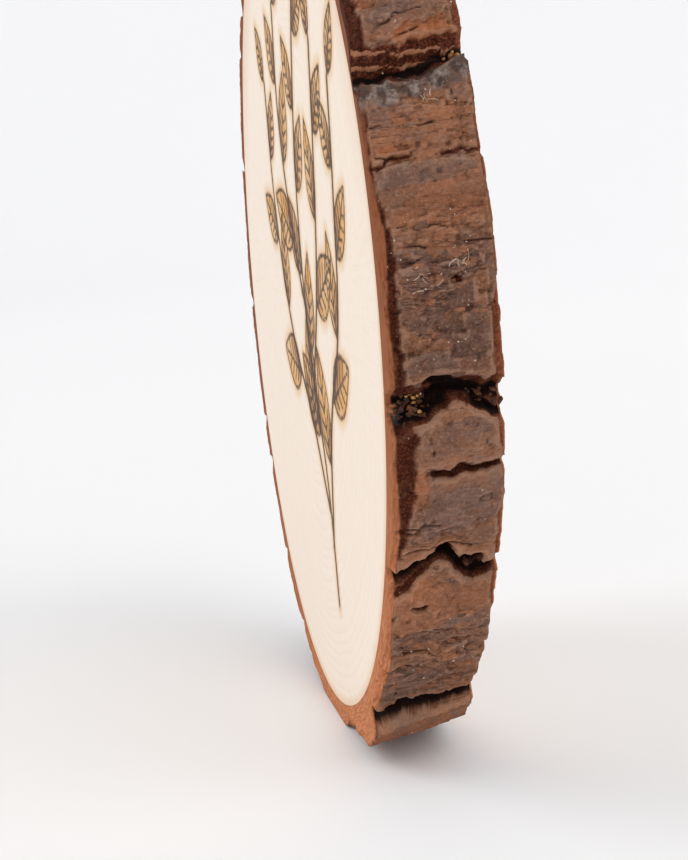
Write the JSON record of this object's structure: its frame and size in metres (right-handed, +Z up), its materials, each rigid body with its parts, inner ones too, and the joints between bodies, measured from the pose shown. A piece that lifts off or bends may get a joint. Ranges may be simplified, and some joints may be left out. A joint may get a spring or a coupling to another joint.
{
  "type": "wood slice",
  "caption": "Round slice sawn across a pine log, a flat disc of pale wood with furrowed bark left on its rim and a burnt leaf sprig on its front, used as an ornament.",
  "frame": {"origin": "on the table under the pith, in the middle of the flat patch of bark that the slice stands on", "axes": "+Z up; Y along the log, with the decorated cut facing -Y; +X is towards the rim that the picture shows"},
  "size_m": [0.1442, 0.015, 0.1414],
  "materials": {
    "wood": "sanded bare pine with growth rings and burnt line work",
    "bark": "rough flaking pine bark, grey-brown plates over dark red cork"
  },
  "bodies": {
    "root": {"wood": "wood", "bark": "bark"}
  },
  "joints": []
}
